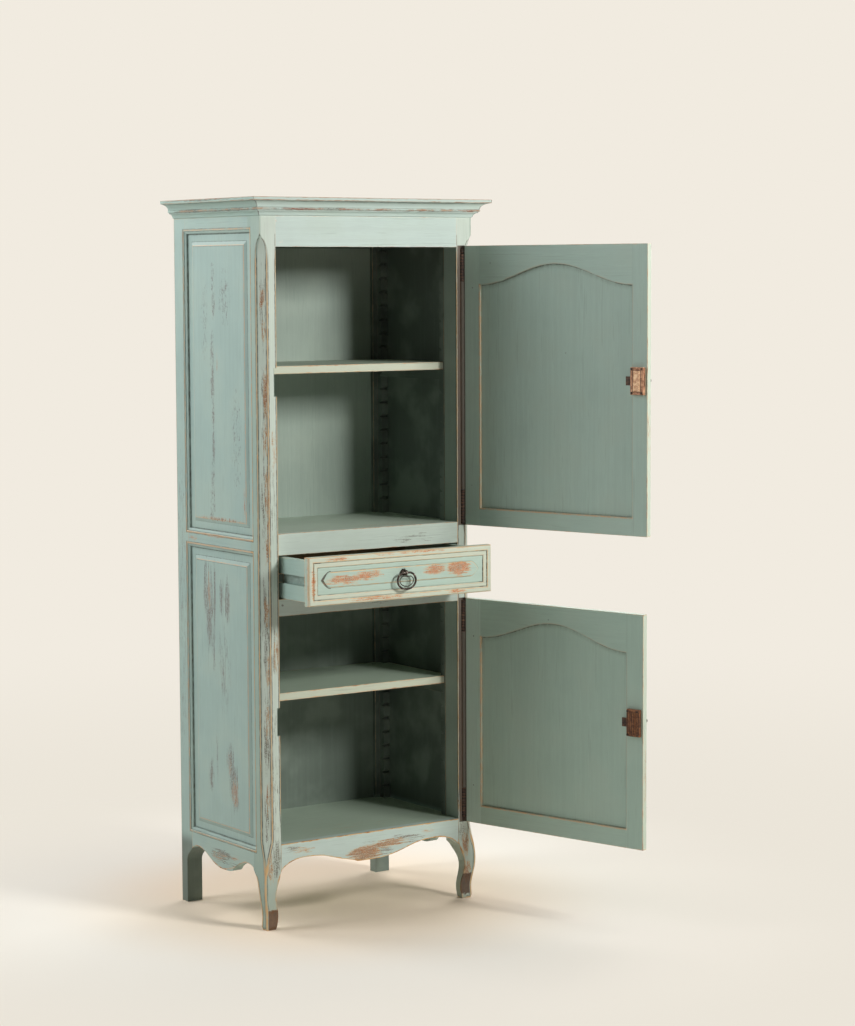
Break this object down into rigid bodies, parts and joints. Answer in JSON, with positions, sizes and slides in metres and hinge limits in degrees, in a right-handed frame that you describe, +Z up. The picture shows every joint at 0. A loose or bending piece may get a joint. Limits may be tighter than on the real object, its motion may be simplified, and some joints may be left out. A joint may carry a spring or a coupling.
{
  "type": "narrow two-door cupboard",
  "caption": "Tall narrow painted cupboard on short curved legs, with an arched-panel door above and below a ring-pull drawer, notched shelf racks, a moulded cornice and surface locks.",
  "frame": {"origin": "on the floor, under the middle of the carcass in plan", "axes": "+Z up; -Y out of the front, where the doors and the drawer open; +X to the right of someone facing the front, the side the doors hang on"},
  "size_m": [0.8369, 0.966, 1.8],
  "materials": {
    "painted_wood": "worn duck-egg paint, low sheen",
    "inside_paint": "matt paint, lightly scuffed",
    "bare_wood": "bare, aged and dry",
    "old_brass": "dull, tarnished",
    "rusty_iron": "brown, oxidised"
  },
  "bodies": {
    "carcass": {"back_rails": "bare_wood", "cornice_front": "painted_wood", "cornice_left": "painted_wood", "cornice_right": "painted_wood", "drawer_rail": "painted_wood", "drawer_runners": "bare_wood", "dust_board": "inside_paint", "frieze_rail": "painted_wood", "front_apron": "painted_wood", "front_post_left": "painted_wood", "front_post_right": "painted_wood", "lower_back_panel": "inside_paint", "lower_floor": "inside_paint", "lower_panel_left": "painted_wood", "lower_panel_right": "painted_wood", "mid_rail": "painted_wood", "post_hinges": "rusty_iron", "rear_post_left": "painted_wood", "rear_post_right": "painted_wood", "shelf_bearers": "inside_paint", "shelf_racks": "inside_paint", "side_aprons": "painted_wood", "side_mid_rails": "painted_wood", "side_top_rails": "painted_wood", "top_board": "bare_wood", "upper_back_panel": "inside_paint", "upper_floor": "inside_paint", "upper_panel_left": "painted_wood", "upper_panel_right": "painted_wood"},
    "upper_door": {"upper_door_hinge_stile": "painted_wood", "upper_door_lock_stile": "painted_wood", "upper_door_top_rail": "painted_wood", "upper_door_bottom_rail": "painted_wood", "upper_door_panel": "painted_wood", "upper_door_hinges": "rusty_iron", "upper_door_lock_case": "old_brass", "upper_door_lock_screws": "rusty_iron", "upper_door_escutcheon": "old_brass"},
    "lower_door": {"lower_door_hinge_stile": "painted_wood", "lower_door_lock_stile": "painted_wood", "lower_door_top_rail": "painted_wood", "lower_door_bottom_rail": "painted_wood", "lower_door_panel": "painted_wood", "lower_door_hinges": "rusty_iron", "lower_door_lock_case": "rusty_iron", "lower_door_lock_screws": "rusty_iron", "lower_door_escutcheon": "old_brass"},
    "upper_bolt": {"upper_door_bolt": "rusty_iron"},
    "lower_bolt": {"lower_door_bolt": "rusty_iron"},
    "upper_knob": {"upper_door_turn_knob": "old_brass"},
    "lower_knob": {"lower_door_turn_knob": "old_brass"},
    "drawer": {"drawer_front": "painted_wood", "drawer_sides": "painted_wood", "drawer_back": "bare_wood", "drawer_bottom": "bare_wood", "drawer_pull_post": "rusty_iron"},
    "pull_ring": {"drawer_pull_ring": "rusty_iron"},
    "upper_shelf": {"upper_shelf": "inside_paint"},
    "lower_shelf": {"lower_shelf": "inside_paint"}
  },
  "joints": [
    {"name": "upper_door_swing", "type": "hinge", "parent": "carcass", "child": "upper_door", "pos_m": [0.286, -0.2085, 1.3525], "axis": [0, 0, 1], "range_deg": [-106.3, 5]},
    {"name": "upper_knob_turn", "type": "hinge", "parent": "upper_door", "child": "upper_knob", "pos_m": [0.45672, -0.7264, 1.3525], "axis": [0.9598, 0.2807, 0], "range_deg": [0, 90]},
    {"name": "upper_bolt_throw", "type": "slide", "parent": "upper_door", "child": "upper_bolt", "axis": [0.2807, -0.9598, 0], "range_m": [0, 0.008]},
    {"name": "lower_door_swing", "type": "hinge", "parent": "carcass", "child": "lower_door", "pos_m": [0.286, -0.2085, 0.518], "axis": [0, 0, 1], "range_deg": [-104.8, 6]},
    {"name": "lower_knob_turn", "type": "hinge", "parent": "lower_door", "child": "lower_knob", "pos_m": [0.4431, -0.73069, 0.518], "axis": [0.9668, 0.2554, 0], "range_deg": [0, 90]},
    {"name": "lower_bolt_throw", "type": "slide", "parent": "lower_door", "child": "lower_bolt", "axis": [0.2554, -0.9668, 0], "range_m": [0, 0.008]},
    {"name": "drawer_slide", "type": "slide", "parent": "carcass", "child": "drawer", "axis": [0, -1, 0], "range_m": [-0.124, 0.13]},
    {"name": "ring_swing", "type": "hinge", "parent": "drawer", "child": "pull_ring", "pos_m": [0.0035, -0.366, 0.883], "axis": [-1, 0, 0], "range_deg": [-14, 85]},
    {"name": "upper_shelf_lift", "type": "slide", "parent": "carcass", "child": "upper_shelf", "axis": [0, 0, 1], "range_m": [0, 0.11]},
    {"name": "lower_shelf_lift", "type": "slide", "parent": "carcass", "child": "lower_shelf", "axis": [0, 0, 1], "range_m": [0, 0.11]}
  ],
  "couplings": [
    {"joint": "upper_knob_turn", "follows": "upper_bolt_throw", "rad_per_m": 196.3},
    {"joint": "lower_knob_turn", "follows": "lower_bolt_throw", "rad_per_m": 196.3}
  ]
}
